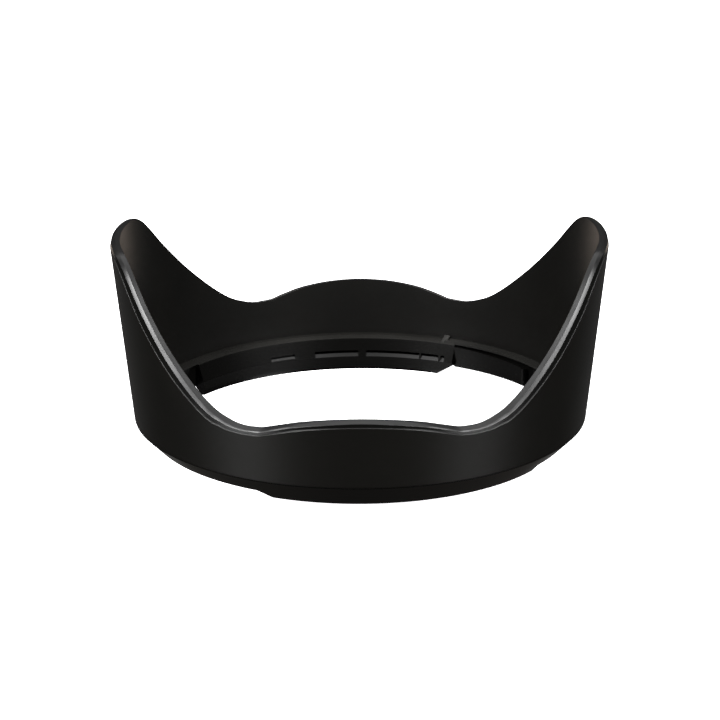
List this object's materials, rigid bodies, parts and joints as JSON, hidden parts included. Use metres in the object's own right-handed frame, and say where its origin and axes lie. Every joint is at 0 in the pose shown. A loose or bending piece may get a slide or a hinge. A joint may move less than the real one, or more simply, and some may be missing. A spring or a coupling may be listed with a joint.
{
  "type": "lens hood",
  "caption": "Petal-shaped lens hood that twists onto a lens collar by a bayonet with sprung click tongues and keeps stray light off the front glass.",
  "frame": {"origin": "on the hood's axis, in the plane of the bayonet's lowest faces, on which the hood stands", "axes": "+Z along the optical axis towards the subject; the tall petals are at -X and +X, the low petals at -Y and +Y"},
  "size_m": [0.103, 0.0978, 0.0435],
  "materials": {
    "shell_plastic": "fine matte black",
    "baffle_plastic": "flat black, grainier than the outside",
    "ring_plastic": "satin black",
    "tongue_plastic": "satin black"
  },
  "bodies": {
    "hood": {"outer_shell": "shell_plastic", "inner_baffle": "baffle_plastic", "bayonet_ring": "ring_plastic"},
    "tongue_1": {"click_tongue_1": "tongue_plastic"},
    "tongue_2": {"click_tongue_2": "tongue_plastic"}
  },
  "joints": [
    {"name": "tongue_1_flex", "type": "hinge", "parent": "hood", "child": "tongue_1", "pos_m": [-0.02117, -0.0376, 0.0041], "axis": [0, 0, 1], "range_deg": [0, 0.75], "stiffness_Nm_per_rad": 0.05},
    {"name": "tongue_2_flex", "type": "hinge", "parent": "hood", "child": "tongue_2", "pos_m": [0.02117, 0.0376, 0.0041], "axis": [0, 0, 1], "range_deg": [0, 0.75], "stiffness_Nm_per_rad": 0.05}
  ]
}
